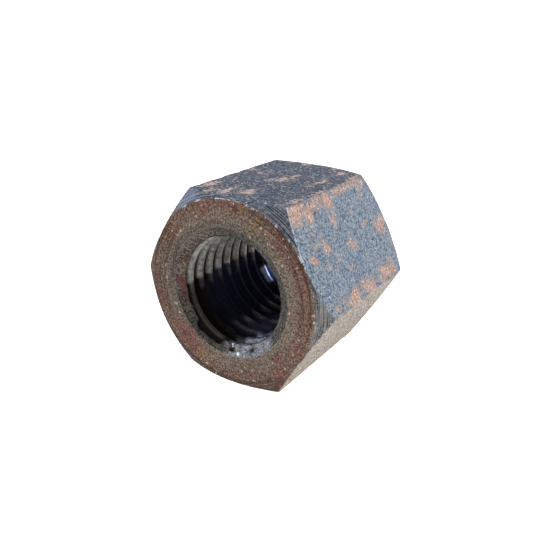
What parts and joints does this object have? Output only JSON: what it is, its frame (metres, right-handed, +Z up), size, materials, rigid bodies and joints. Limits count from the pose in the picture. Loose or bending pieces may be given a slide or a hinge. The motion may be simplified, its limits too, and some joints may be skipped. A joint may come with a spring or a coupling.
{
  "type": "hex nut",
  "caption": "Tall hexagon nut with chamfered ends and a countersunk right-hand threaded bore, in dark blued steel with light rust.",
  "frame": {"origin": "middle of the nut, on the thread axis", "axes": "+Y along the thread axis, from the front end face to the rear one; +Z up, square to the flat that the nut lies on; +X through two opposite side edges"},
  "size_m": [0.0276, 0.022, 0.024],
  "materials": {
    "blued_steel": "dark blue-grey oxide, satin, with light orange and brown rust"
  },
  "bodies": {
    "root": {"hex_nut": "blued_steel"}
  },
  "joints": []
}
